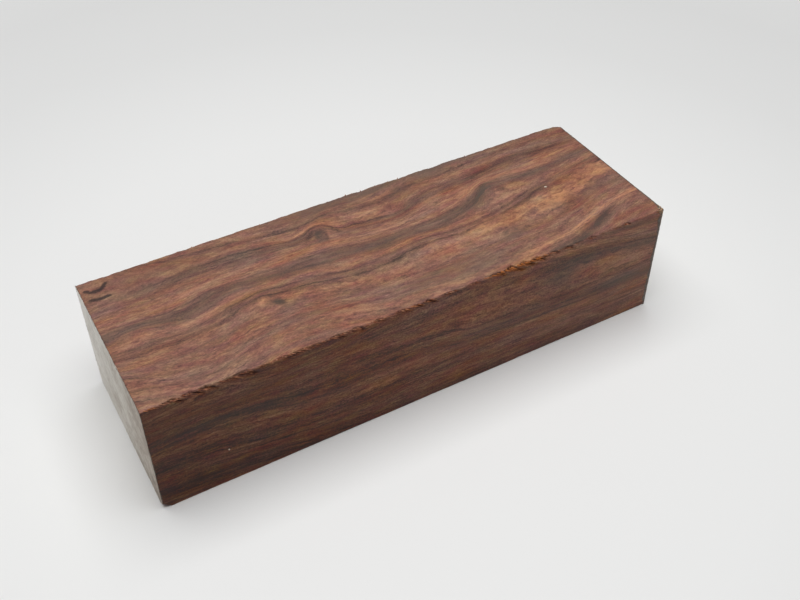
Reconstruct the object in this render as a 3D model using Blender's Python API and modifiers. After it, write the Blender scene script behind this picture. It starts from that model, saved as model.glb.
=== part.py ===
"""Arizona ironwood block: one sawn billet of natural heartwood, its end grain sealed with wax.

Units are metres and +Z is up. The origin is the middle of the base, the grain runs along X, and the
front is at -Y. The billet is one solid, because it grew and was cut as one piece.
"""

import bmesh
import bpy
from mathutils import Vector

MM = 0.001

# Sawn size: a knife-scale block, 5 1/3 by 1 3/4 by 1 1/4 inches
LENGTH = 135.4 * MM
WIDTH = 44.45 * MM
HEIGHT = 31.8 * MM

# A sawn arris is sharp, with only the fuzz rubbed off it
ARRIS_RADIUS = 0.35 * MM
ARRIS_SEGMENTS = 3
ARRIS_ANGLE = 0.4

# Corners knocked off in handling: side along X, Y and Z, and how far back along each edge
KNOCKED_CORNERS = (
    ((-1, -1, -1), (1.9 * MM, 1.5 * MM, 1.7 * MM)),
    ((1, 1, 1), (2.6 * MM, 1.2 * MM, 1.2 * MM)),
)

# Reddish brown heartwood, rubbed but not polished
HEARTWOOD_COLOUR = (0.222, 0.117, 0.078, 1.0)
HEARTWOOD_ROUGHNESS = 0.5

COLLECTION_NAME = "arizona_ironwood_block"
BLOCK_NAME = "ironwood_block"


def clear_scene():
    """Remove every object that the file holds."""
    for old in list(bpy.data.objects):
        bpy.data.objects.remove(old, do_unlink=True)


def heartwood_material():
    """Return the material of the sawn heartwood."""
    material = bpy.data.materials.new("ironwood_heartwood")
    material.use_nodes = True
    shader = material.node_tree.nodes["Principled BSDF"]
    shader.inputs["Base Color"].default_value = HEARTWOOD_COLOUR
    shader.inputs["Roughness"].default_value = HEARTWOOD_ROUGHNESS
    shader.inputs["Metallic"].default_value = 0.0
    material.diffuse_color = HEARTWOOD_COLOUR
    return material


def knock_corner(bm, side, reach):
    """Cut one corner of the block off along a slanting plane.

    Args:
        bm: the block's bmesh, centred on its own origin.
        side: which corner, as -1 or 1 along X, Y and Z.
        reach: how far from the corner the cut meets each of its three edges.
    """
    corner = Vector((side[0] * LENGTH, side[1] * WIDTH, side[2] * HEIGHT)) / 2
    outward = Vector(s / r for s, r in zip(side, reach)).normalized()
    on_cut = corner - Vector((side[0] * reach[0], 0.0, 0.0))
    cut = bmesh.ops.bisect_plane(
        bm,
        geom=bm.verts[:] + bm.edges[:] + bm.faces[:],
        dist=1e-7,
        plane_co=on_cut,
        plane_no=outward,
        clear_outer=True,
    )
    rim = [item for item in cut["geom_cut"] if isinstance(item, bmesh.types.BMEdge)]
    bmesh.ops.contextual_create(bm, geom=rim)


def ironwood_block(material):
    """Return the block: a box with its arrises eased and two of its corners knocked off."""
    bpy.ops.mesh.primitive_cube_add(size=1.0, location=(0.0, 0.0, HEIGHT / 2))
    block = bpy.context.active_object
    block.name = BLOCK_NAME
    block.data.name = BLOCK_NAME

    bm = bmesh.new()
    bm.from_mesh(block.data)
    bmesh.ops.scale(bm, vec=(LENGTH, WIDTH, HEIGHT), verts=bm.verts[:])
    for side, reach in KNOCKED_CORNERS:
        knock_corner(bm, side, reach)
    bmesh.ops.recalc_face_normals(bm, faces=bm.faces[:])
    bm.to_mesh(block.data)
    bm.free()

    eased = block.modifiers.new("eased_arrises", "BEVEL")
    eased.width = ARRIS_RADIUS
    eased.segments = ARRIS_SEGMENTS
    eased.limit_method = "ANGLE"
    eased.angle_limit = ARRIS_ANGLE
    block.data.materials.append(material)
    block.data.shade_smooth()
    block.data.set_sharp_from_angle(angle=ARRIS_ANGLE)
    return block


def main():
    """Build the block in a collection of its own."""
    clear_scene()
    collection = bpy.data.collections.new(COLLECTION_NAME)
    bpy.context.scene.collection.children.link(collection)
    block = ironwood_block(heartwood_material())
    for holder in list(block.users_collection):
        holder.objects.unlink(block)
    collection.objects.link(block)


main()
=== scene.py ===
"""Looks of a sawn block of desert ironwood: figured heartwood, torn arrises and waxed ends.

Meshes are in metres. Patterns and given places are in millimetres of the block: along it from its
left end, back from its front face and up from its base.
"""

import logging
from dataclasses import dataclass, field
from enum import Enum
from math import cos, pi, radians, sin, tan

import bmesh
import bpy
import numpy as np
from mathutils import Euler, Matrix, Vector


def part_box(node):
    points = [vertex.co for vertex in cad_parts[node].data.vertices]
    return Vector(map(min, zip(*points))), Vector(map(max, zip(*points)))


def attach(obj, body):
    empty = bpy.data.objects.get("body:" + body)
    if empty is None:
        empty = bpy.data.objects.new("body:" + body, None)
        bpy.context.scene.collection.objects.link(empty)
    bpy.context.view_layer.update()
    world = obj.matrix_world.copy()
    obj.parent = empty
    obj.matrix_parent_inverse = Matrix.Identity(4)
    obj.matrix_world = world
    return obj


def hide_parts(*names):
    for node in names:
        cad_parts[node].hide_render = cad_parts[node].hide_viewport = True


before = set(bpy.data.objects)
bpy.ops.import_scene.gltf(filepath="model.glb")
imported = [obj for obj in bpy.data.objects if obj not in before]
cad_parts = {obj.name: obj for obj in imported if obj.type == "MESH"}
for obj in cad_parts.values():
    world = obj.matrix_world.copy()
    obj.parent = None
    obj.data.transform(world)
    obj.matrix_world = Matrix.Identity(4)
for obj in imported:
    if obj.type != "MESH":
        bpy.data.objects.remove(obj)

LOG = logging.getLogger("ironwood_block")

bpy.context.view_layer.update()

MM = 0.001
NODE = "ironwood_block"
BODY = "root"

LOWEST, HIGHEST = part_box(NODE)
LENGTH, DEPTH, HEIGHT = ((high - low) / MM for low, high in zip(LOWEST, HIGHEST))

# Growth layers lean: a step down the front face crosses as many of them as LEAN steps back on the top
LEAN = 1.4

# Values at given places along the block
Curve = dict[float, float]


class Face(Enum):
    """A long face of the block, or all of them."""

    TOP = "top"
    FRONT = "front"
    ALL = "all"


class Tone(Enum):
    """A way in which a layer of the wood differs from the rest, as its place in the figure attribute."""

    DARK = 0
    WARM = 1
    GREY = 2


def smoothstep(low: float, high: float, value: np.ndarray) -> np.ndarray:
    """Return 0 below low, 1 above high and a smooth rise between them."""
    t = np.clip((value - low) / (high - low), 0.0, 1.0)
    return t * t * (3.0 - 2.0 * t)


def read(curve: Curve, along: np.ndarray) -> np.ndarray:
    """Return a curve's values along the block, on straight lines between its places."""
    return np.interp(along, list(curve), list(curve.values()))


def follow(route: Curve, along: np.ndarray) -> np.ndarray:
    """Read a smooth curve through given points.

    Args:
        route: its points.
        along: where the curve is read.

    Returns:
        The curve's values.
    """
    xs, ys = np.array(list(route.items()), float).T
    slopes = np.gradient(ys, xs)
    at = np.clip(along, xs[0], xs[-1])
    left = np.clip(np.searchsorted(xs, at, side="right") - 1, 0, len(xs) - 2)
    step = xs[left + 1] - xs[left]
    t = (at - xs[left]) / step
    return (ys[left] * (1 + 2 * t) * (1 - t) ** 2 + slopes[left] * step * t * (1 - t) ** 2
            + ys[left + 1] * t * t * (3 - 2 * t) + slopes[left + 1] * step * t * t * (t - 1))


@dataclass(frozen=True)
class Layer:
    """One growth layer, followed along a face.

    Attributes:
        depth: its place among the layers, in mm from the front top arris.
        route: how far back on the top, or up on the front, it lies along the block, in mm.
    """

    depth: float
    route: Curve


@dataclass(frozen=True)
class Streak:
    """A band of one tone that follows the growth layers.

    Attributes:
        depth: the layer at its middle, in mm.
        half_width: from its middle to where it fades, in mm.
        strength: its strength along the block.
        edge: how abruptly it fades.
    """

    depth: float
    half_width: float
    strength: Curve
    edge: float = 2.6

    def shade(self, along: np.ndarray, depth: np.ndarray) -> np.ndarray:
        """Return its strength at places along the block and depths among the layers."""
        off = np.abs(depth - self.depth) / self.half_width
        return read(self.strength, along) * np.exp(-off ** self.edge)


@dataclass(frozen=True)
class Patch:
    """A local spot of one tone, longer along the grain than across it.

    Attributes:
        along: its middle along the block, in mm.
        across: its middle back on the top or up on the front, in mm.
        reach: half its length, in mm.
        spread: half its width, in mm.
        tilt: turn from the block's length, in degrees.
        strength: how strong it is at its middle.
        edge: how abruptly it fades.
    """

    along: float
    across: float
    reach: float
    spread: float
    tilt: float
    strength: float
    edge: float = 3.0

    def shade(self, along: np.ndarray, across: np.ndarray) -> np.ndarray:
        """Return its strength at places on its face."""
        dx, dy, turn = along - self.along, across - self.across, radians(self.tilt)
        far = np.hypot((dx * cos(turn) + dy * sin(turn)) / self.reach,
                       (dy * cos(turn) - dx * sin(turn)) / self.spread)
        return self.strength * np.exp(-far ** self.edge)


@dataclass(frozen=True)
class Thread:
    """A hair-thin dark line that marks one growth layer.

    Attributes:
        depth: the layer, in mm.
        strength: its strength along the block.
    """

    depth: float
    strength: Curve


TOP_LAYERS = (
    Layer(3, {0: 3.2, 6: 1.5, 13: -0.5, 20: 0, 28: 2, 36: 3.6, 45: 3, 55: 0.8, 70: -1, 85: -1.8, 95: -1.2,
              103: 0.5, 115: 3.4, 121: 5.6, 125: 7.4, 130: 8.7, 135: 9.3}),
    Layer(6, {0: 6.3, 6: 4.8, 15: 2.9, 21: 3.8, 27: 5.8, 35: 7.4, 42: 7.5, 50: 6.3, 60: 4.3, 70: 3.2,
              80: 2.6, 90: 2.6, 100: 3.4, 112: 5.2, 120: 8, 126: 9.8, 135: 10.8}),
    Layer(9, {0: 10.6, 4: 9.2, 9: 7.4, 15: 6.3, 21: 6.6, 28: 8.2, 36: 9.6, 43: 9.4, 50: 8.4, 60: 7, 72: 6.2,
              84: 6.2, 94: 7.2, 110: 8.6, 118: 10.6, 125: 12.4, 135: 13.6}),
    Layer(13, {0: 13.3, 6: 12.2, 12: 11.4, 18: 11, 24: 12, 30: 13, 38: 13.6, 43: 13.8, 47: 12.7, 53: 11.2,
               58: 10.4, 65: 9.9, 75: 9.9, 95: 10.5, 113: 11.2, 118: 12.5, 125: 14.5, 131: 15.8,
               135: 16.5}),
    Layer(16.2, {0: 16, 20: 15.8, 25: 16.8, 30: 18.5, 35: 19.9, 40: 19.2, 45: 18.7, 50: 17.8, 55: 16.8,
                 58: 16.2, 68: 16.5, 76: 17.8, 85: 17.3, 95: 17.8, 105: 19.6, 111: 21.3, 121: 23.4,
                 130: 25.2, 135: 25.8}),
    Layer(18.4, {0: 18.4, 20: 18.3, 25: 19.6, 30: 20.7, 35: 21.7, 40: 21.1, 45: 20.4, 50: 19.5, 58: 18.2,
                 68: 18.6, 76: 19.5, 85: 19, 95: 19.2, 105: 21.4, 111: 23.1, 121: 25, 130: 26.8,
                 135: 27.3}),
    Layer(21.5, {0: 21.5, 8: 23, 14: 21.6, 20: 21.6, 25: 23, 30: 24.3, 36: 24, 45: 23.4, 53: 22.8, 60: 22.3,
                 67: 21.3, 75: 21.9, 85: 21.5, 92: 22.6, 97: 24.5, 102: 28, 110: 27.5, 118: 27.8, 124: 28.3,
                 130: 29.6, 135: 30.2}),
    Layer(26, {0: 26.5, 18: 26, 25: 27.5, 31: 27.9, 40: 27.2, 57: 26.9, 63: 25.9, 70: 25, 86: 25.3, 91: 26,
               95: 27.6, 99: 30.2, 102: 31.6, 106: 31.2, 120: 30.7, 128: 31.6, 135: 32.4}),
    Layer(32.5, {0: 31.5, 15: 32, 28: 32.8, 50: 32.5, 63: 31.5, 70: 30, 78: 30, 83: 31.5, 88: 32.6,
                 100: 33.8, 112: 35, 125: 35.4, 135: 35.8}),
    Layer(36, {0: 35, 12: 35.2, 22: 36.6, 35: 36.5, 45: 35.3, 51: 34.5, 52.8: 35, 54.6: 36, 56.4: 36.8,
               58: 36.7, 60.1: 35, 61.8: 33.4, 66: 32.6, 72: 32, 79: 32, 83: 34, 88: 35.5, 95: 36.3,
               103: 37.2, 110: 38.2, 126: 38, 135: 38}),
    Layer(40, {0: 46, 10: 45, 18: 43.3, 28: 42, 38: 40.8, 46: 39.2, 54: 38.8, 58: 39.3, 60: 40, 65: 39.2,
               72: 38, 78: 38.5, 86: 40, 95: 40.5, 105: 41.2, 120: 41.6, 135: 41}),
    Layer(43, {0: 49, 20: 46.5, 35: 45, 45: 43.3, 52: 42, 58: 41.3, 64: 42.3, 70: 41.7, 76: 42.3, 82: 44.3,
               95: 44.5, 135: 45}),
)

FRONT_LAYERS = (
    Layer(7, {0: 27, 20: 26.6, 40: 27, 60: 27, 80: 27.2, 104: 26.6, 113: 26, 118: 25.5, 123: 24.8,
              128: 24.3, 135: 23}),
    Layer(13, {0: 24, 15: 24.2, 30: 23.2, 42: 22.3, 55: 21.3, 66: 20.5, 75: 19.3, 80: 17.8, 84: 17.2,
               95: 17.1, 104: 16.3, 120: 16.2, 135: 16}),
    Layer(17.2, {0: 20, 10: 20.8, 15: 20.9, 20: 20.4, 28: 19.2, 32: 17.8, 42: 16.5, 52: 16.8, 62: 16.6,
                 72: 15.8, 80: 14.8, 90: 14, 103: 13, 115: 12.3, 135: 12.7}),
    Layer(24, {0: 14, 5: 14.2, 14: 13.3, 22: 11.9, 28: 10.7, 34: 10, 42: 9.5, 52: 8.6, 65: 8.8, 80: 8.8,
               95: 8.6, 110: 8.2, 135: 8}),
    Layer(34, {0: 4.8, 10: 4.4, 18: 3.9, 26: 3, 32: 2.1, 40: 0.8, 55: 0.2, 90: 0.6, 135: 0.2}),
)

STREAKS = {
    (Face.TOP, Tone.DARK): (
        # Wide dark bands, with the thin ones at their sides
        Streak(23.6, 2.4, {0: 0.85, 28: 0.9, 34: 1.1, 48: 1.1, 60: 0.95, 90: 1.1, 103: 1.2, 106: 0.6,
                           108.5: 0.25, 111: 0.6, 135: 0.55}),
        Streak(17.2, 1.5, {0: 0.3, 27: 0.5, 33: 0.4, 60: 0.25, 95: 0.1, 135: 0.2}),
        Streak(16.8, 0.9, {99: 0, 104: 0.4, 109: 0.8, 112: 1.2, 114.6: 1.5, 116: 0.4, 120: 0}),
        Streak(16.2, 0.5, {0: 0.3, 27: 0.3, 34: 0.8, 60: 0.9, 78: 0.7, 95: 0.7, 105: 0.5, 135: 0.3}),
        Streak(18.4, 0.5, {0: 0.2, 27: 0.4, 34: 0.8, 45: 0.7, 60: 0.4, 78: 0.7, 90: 0.5, 120: 0.5,
                           135: 0.3}),
        Streak(34.3, 1.9, {0: 0.1, 12: 0.25, 20: 0.6, 35: 0.9, 50: 1, 60: 0.6, 64: 0.6, 80: 0.9, 88: 0.5,
                           106: 1.2, 118: 1.4, 128: 1, 135: 0.6}),
        Streak(36, 0.5, {0: 0, 17: 0.4, 35: 0.7, 58: 0.8, 72: 0.5, 90: 0.2, 135: 0}),
        Streak(40, 0.7, {0: 0, 16: 0.5, 30: 0.7, 60: 0.8, 64: 0.3, 76: 0.4, 84: 0.6, 95: 0.3, 135: 0.3}),
        Streak(43, 0.8, {40: 0, 48: 0.5, 60: 0.5, 64: 1, 78: 1, 86: 0.5, 135: 0.4}),
        # Thinner ones near the front top arris
        Streak(2.2, 1.2, {95: 0, 103: 0.8, 110: 1.5, 119: 1.3, 123: 0.8, 127: 0.3, 135: 0.2}),
        Streak(3, 0.5, {0: 0.5, 8: 0.3, 30: 0.1, 45: 0.1, 135: 0}),
        Streak(6, 0.5, {0: 0.3, 10: 0.4, 24: 0.4, 32: 0.2, 50: 0.2, 90: 0.1, 135: 0}),
        Streak(9, 0.45, {0: 0.4, 12: 0.3, 20: 0.2, 40: 0.2, 60: 0.2, 90: 0, 135: 0}),
        Streak(13, 1.1, {0: 0.1, 26: 0.3, 34: 0.1, 46: 0.3, 60: 0.2, 108: 0.1, 114: 0.7, 122: 0.8,
                         135: 0.6}),
    ),
    (Face.TOP, Tone.GREY): (
        Streak(23.6, 2.3, {0: 0.6, 45: 0.6, 85: 0.9, 104: 0.9, 108: 0.2, 112: 0.5, 135: 0.5}),
        Streak(44.5, 2.8, {0: 0.5, 50: 0.6, 62: 1.5, 100: 1.4, 135: 0.9}),
        Streak(2.2, 1.2, {100: 0, 108: 0.8, 118: 0.6, 124: 0}),
    ),
    (Face.TOP, Tone.WARM): (
        # Pale arc over the first knot
        Streak(37.4, 0.6, {48: 0, 52: 0.9, 60: 1, 62: 0.7, 64.5: 0}),
        # Lighter layers between the dark ones
        Streak(20, 1, {0: 0.5, 18: 0.5, 26: 0.4, 45: 0.4, 60: 0.6, 75: 0.4, 110: 0.3, 135: 0.3}),
        Streak(15.4, 0.8, {72: 0, 79: 1.1, 90: 1.5, 95: 1.1, 99: 0.2, 102: 0}),
        Streak(14.6, 1.6, {0: 0.3, 70: 0.1, 92: 0.2, 99: 0.4, 103: 1, 117: 1, 126: 0.9, 135: 0.8}),
        Streak(28.4, 1.8, {0: 0.3, 28: 0.4, 60: 0.35, 85: 0.35, 95: 0.9, 118: 0.9, 128: 0.5, 135: 0.3}),
        Streak(5.6, 0.9, {0: 0.2, 90: 0.4, 103: 0.9, 120: 1.5, 135: 1.6}),
    ),
    (Face.FRONT, Tone.DARK): (
        # The same layers where the front face cuts them
        Streak(17.2, 2, {0: 1, 15: 1.3, 36: 1.2, 44: 1, 50: 0.4, 75: 0.3, 84: 0.8, 115: 0.7, 124: 0.9,
                         135: 0.6}),
        Streak(24, 1.6, {0: 1.2, 30: 1.3, 40: 0.9, 60: 0.4, 135: 0.2}),
        Streak(34, 2.4, {0: 1.3, 40: 1.3, 90: 0.8, 135: 0.6}),
        Streak(13, 0.9, {0: 0.1, 50: 0.4, 58: 0.8, 70: 0.6, 100: 0.4, 135: 0.2}),
        Streak(7, 1.4, {0: 0.2, 95: 0.2, 104: 0.9, 112: 1.2, 135: 1.2}),
    ),
    (Face.FRONT, Tone.GREY): (
        Streak(16.6, 3, {0: 0.5, 15: 0.7, 30: 0.5, 60: 0.2, 84: 0.9, 105: 0.9, 135: 0.8}),
        Streak(7, 1.5, {104: 0, 112: 1, 135: 1.4}),
    ),
    (Face.FRONT, Tone.WARM): (
        Streak(20.5, 2.2, {0: 0.4, 20: 0.4, 32: 0.6, 60: 0.4, 70: 0.2, 135: 0.2}),
        Streak(10.5, 3.2, {0: 0.1, 75: 0.2, 82: 0.8, 92: 0.5, 105: 0, 112: 0.6, 135: 0.6}),
    ),
    (Face.ALL, Tone.DARK): (
        # Layers that only the back and the base cut
        Streak(49, 1.6, {0: 0.4, 40: 0.9, 70: 1, 110: 0.6, 135: 0.8}),
        Streak(56.5, 2.4, {0: 0.9, 35: 0.6, 80: 0.9, 135: 0.7}),
        Streak(62, 0.7, {0: 0.5, 70: 0.9, 135: 0.5}),
        Streak(69.5, 2, {0: 0.8, 60: 0.7, 100: 1, 135: 0.6}),
        Streak(76, 0.9, {0: 0.9, 50: 0.5, 135: 0.9}),
        Streak(83, 1.9, {0: 0.8, 50: 0.9, 90: 0.5, 135: 0.9}),
    ),
    (Face.ALL, Tone.GREY): (
        Streak(57, 2.2, {0: 0.7, 60: 0.4, 135: 0.7}),
        Streak(70, 2.6, {0: 0.6, 70: 0.7, 135: 0.5}),
    ),
    (Face.ALL, Tone.WARM): (
        Streak(52, 1.5, {0: 0.8, 50: 0.3, 90: 0.8, 135: 0.5}),
        Streak(65, 2, {0: 0.5, 40: 0.9, 100: 0.5, 135: 0.8}),
        Streak(79, 1.6, {0: 0.4, 60: 0.9, 135: 0.5}),
    ),
}

THREADS = {
    Face.TOP: (
        Thread(3, {0: 0.8, 10: 0.5, 30: 0.3, 50: 0.2, 100: 0.5, 135: 0.4}),
        Thread(4.5, {0: 0.4, 20: 0.6, 50: 0.4, 90: 0.2, 105: 0.6, 135: 0.5}),
        Thread(6, {0: 0.9, 24: 1, 32: 0.5, 50: 0.4, 90: 0.2, 135: 0.6}),
        Thread(7.6, {0: 0.7, 20: 0.5, 44: 0.8, 56: 0.3, 135: 0.4}),
        Thread(9, {0: 1, 12: 0.7, 40: 0.6, 60: 0.3, 90: 0.2, 135: 0.4}),
        Thread(11.2, {0: 0.4, 30: 0.6, 46: 0.8, 60: 0.4, 100: 0.4, 135: 0.5}),
        Thread(13, {0: 0.2, 26: 0.6, 34: 0.2, 46: 0.7, 60: 0.5, 75: 0.2, 105: 0.6, 135: 0.4}),
        Thread(13.7, {95: 0, 102: 0.5, 124: 0.4, 135: 0.3}),
        Thread(14.4, {90: 0, 96: 0.3, 104: 0.1, 110: 0.5, 128: 0.5, 135: 0.2}),
        Thread(15.1, {95: 0, 100: 0.4, 116: 0.5, 122: 0.2, 135: 0.5}),
        Thread(16.2, {0: 0.5, 27: 0.6, 34: 1, 60: 1, 78: 0.8, 95: 0.9, 108: 0.8, 135: 0.6}),
        Thread(18.4, {0: 0.5, 27: 0.8, 34: 1, 45: 0.9, 60: 0.6, 78: 0.9, 90: 0.7, 100: 0.4, 120: 0.7,
                      135: 0.6}),
        Thread(26, {0: 0.5, 20: 0.8, 60: 0.7, 135: 0.6}),
        Thread(36, {0: 0.2, 17: 0.6, 35: 1, 58: 1, 72: 0.8, 90: 0.4, 135: 0.2}),
        Thread(40, {0: 0, 16: 0.7, 30: 1, 60: 1, 64: 0.4, 84: 0.6, 135: 0.5}),
    ),
    Face.FRONT: (
        Thread(13, {0: 0.3, 50: 0.5, 57: 1, 80: 0.8, 135: 0.7}),
        Thread(16.2, {0: 0.8, 30: 0.9, 60: 0.7, 84: 0.4, 135: 0.5}),
        Thread(18.4, {0: 0.7, 30: 0.8, 60: 0.4, 100: 0.8, 135: 0.6}),
        Thread(26, {0: 0.9, 35: 0.8, 60: 0.3, 135: 0.4}),
        Thread(28.5, {0: 0.7, 40: 0.6, 60: 0.3, 135: 0.3}),
        Thread(36, {0: 0.9, 40: 0.9, 135: 0.3}),
    ),
}
THREAD_HALF_WIDTH = 0.3
DEEPEST_THREAD = 50.0
THREADS_PER_RAMP = 9

# Local spots of the figure: the eyes of the three small knots with the fleshy wood beside them, and the
# places that glow, darken or cloud over
PATCHES = {
    (Face.TOP, Tone.DARK): (
        # Knots
        Patch(56.7, 32.9, 2.3, 1.2, 80, 1), Patch(56.4, 33.8, 0.8, 0.5, 30, 1.3),
        Patch(57.9, 31.6, 1.3, 0.35, 75, 1.3), Patch(54.4, 34, 2, 0.6, 50, 1),
        Patch(61, 33.2, 2, 0.4, -62, 1.4), Patch(38, 16.7, 2.1, 0.9, -50, 2.7),
        Patch(38.6, 16, 1, 0.45, -50, 1.4), Patch(99.6, 28.4, 3.8, 1, 40, 1.1),
        Patch(103.4, 30.2, 1.8, 0.7, 8, 0.8), Patch(105.8, 26.9, 1.3, 0.4, -60, 1.5),
        Patch(106.3, 29.4, 0.9, 0.35, -50, 1),
        # Shade beside the arris
        Patch(120.9, 5.4, 4.2, 1.1, 28, 1.3), Patch(111, 1, 7, 0.8, 4, 0.8),
        Patch(74, 7.2, 1.6, 0.8, 10, 0.7),
    ),
    (Face.TOP, Tone.GREY): (
        # Knots
        Patch(56.7, 33, 2.5, 1.5, 80, 1), Patch(37.7, 17.1, 2.6, 1.2, -50, 0.9),
        Patch(101, 29, 3.4, 1.2, 32, 0.9),
        # Clouds
        Patch(10, 39, 16, 5.5, 0, 0.6), Patch(120.4, 5, 5, 1.3, 28, 0.45), Patch(79, 5.5, 16, 3.6, 0, 1),
        Patch(98.6, 11, 4, 1.9, 10, 0.9), Patch(81.5, 38.4, 4.6, 2.4, 20, 0.8),
        Patch(92, 42.6, 5, 1.8, 0, 0.8), Patch(30, 38, 14, 2.2, -8, 0.4),
    ),
    (Face.TOP, Tone.WARM): (
        # Knots and the two bright dashes beyond them
        Patch(57.2, 32.4, 0.6, 0.3, 60, 1.1), Patch(58.7, 32.2, 1.9, 0.4, 75, 1.3),
        Patch(59.8, 31.6, 1.4, 0.7, 70, 0.7), Patch(53.3, 29.7, 1.8, 0.8, 10, 0.9),
        Patch(58.8, 29.2, 1.5, 0.7, 0, 0.9), Patch(40.6, 17.2, 1.8, 0.6, -50, 0.7),
        Patch(35.2, 18.4, 1.8, 1, 50, 0.7), Patch(103.6, 26.8, 1, 0.6, 60, 0.9),
        Patch(107.4, 26.8, 1.1, 0.4, -50, 0.8), Patch(106.7, 18.1, 2.2, 0.5, 12, 0.9),
        Patch(112.1, 17.9, 2.4, 0.6, 8, 0.9),
        # Glowing layers
        Patch(110, 18.6, 8, 1.2, 9, 0.6), Patch(7.2, 21.8, 2.6, 0.8, -5, 0.5),
        Patch(71, 35.2, 5, 1.8, -12, 0.8), Patch(75, 40.4, 6, 1.4, 8, 0.6),
        Patch(60, 3.2, 4, 1.2, -20, 0.5), Patch(2.2, 0.6, 2.6, 0.6, 0, 1.2),
        Patch(70.6, 0.5, 2.6, 0.6, 0, 1.2), Patch(96, 0.5, 4, 0.5, 0, 1), Patch(129, 9, 6, 0.9, 12, 0.6),
        Patch(73, 28, 4, 1.4, 0, 0.6),
    ),
    (Face.FRONT, Tone.DARK): (
        Patch(106, 24.4, 6, 2.4, -8, 0.7), Patch(126.5, 30.4, 7, 0.7, -5, 0.6),
        Patch(126, 12.5, 8, 0.6, 0, 0.3), Patch(105, 2.6, 28, 2, 2, 0.6),
        Patch(81.4, 20.5, 0.9, 0.7, -20, 0.9),
    ),
    (Face.FRONT, Tone.GREY): (
        Patch(106, 23.5, 7, 3.6, -10, 1.4), Patch(126.5, 30.4, 7, 0.9, -5, 0.9),
        Patch(128, 13, 9, 2, 0, 1.2),
    ),
    (Face.FRONT, Tone.WARM): (
        Patch(106, 30.2, 15, 0.9, -4, 1.3), Patch(127.5, 28.3, 8, 0.8, -8, 1.1),
        Patch(16, 28.4, 15, 2.2, 0, 0.5), Patch(107, 7.4, 9, 1.6, -6, 0.6),
    ),
}

# The top was cut across the layers and shows them best
FACE_STRENGTH = {Face.TOP: 0.8, Face.FRONT: 0.45, Face.ALL: 0.6}

# Painted shade darkens the front, back and base, the front most of all at its left end
FRONT_PAINTED_SHADE: Curve = {0: 0.688, LENGTH: 0.1505}
BACK_PAINTED_SHADE = 0.2

# A point this near a face lies on it, in mm
ON_FACE = 0.3


@dataclass(frozen=True)
class Ripple:
    """Smooth irregular variation, as a seeded sum of slanting waves.

    Attributes:
        seed: the random seed.
        lengths: typical wavelength along each coordinate, in mm.
        waves: how many waves are summed.
    """

    seed: int
    lengths: tuple[float, ...]
    waves: int = 9

    def read(self, *coordinates: np.ndarray) -> np.ndarray:
        """Read the variation.

        Args:
            coordinates: one array for each of the lengths, in mm.

        Returns:
            Values of about -1 to 1.
        """
        rng = np.random.default_rng(self.seed)
        total = np.zeros_like(coordinates[0], dtype=float)
        for _ in range(self.waves):
            turns = rng.normal(0.0, 1.0, len(self.lengths)) / np.array(self.lengths)
            phase = rng.uniform(0.0, 2 * pi)
            total += np.sin(sum(c * turn for c, turn in zip(coordinates, turns)) * 2 * pi + phase)
        return total / np.sqrt(self.waves)


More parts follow.
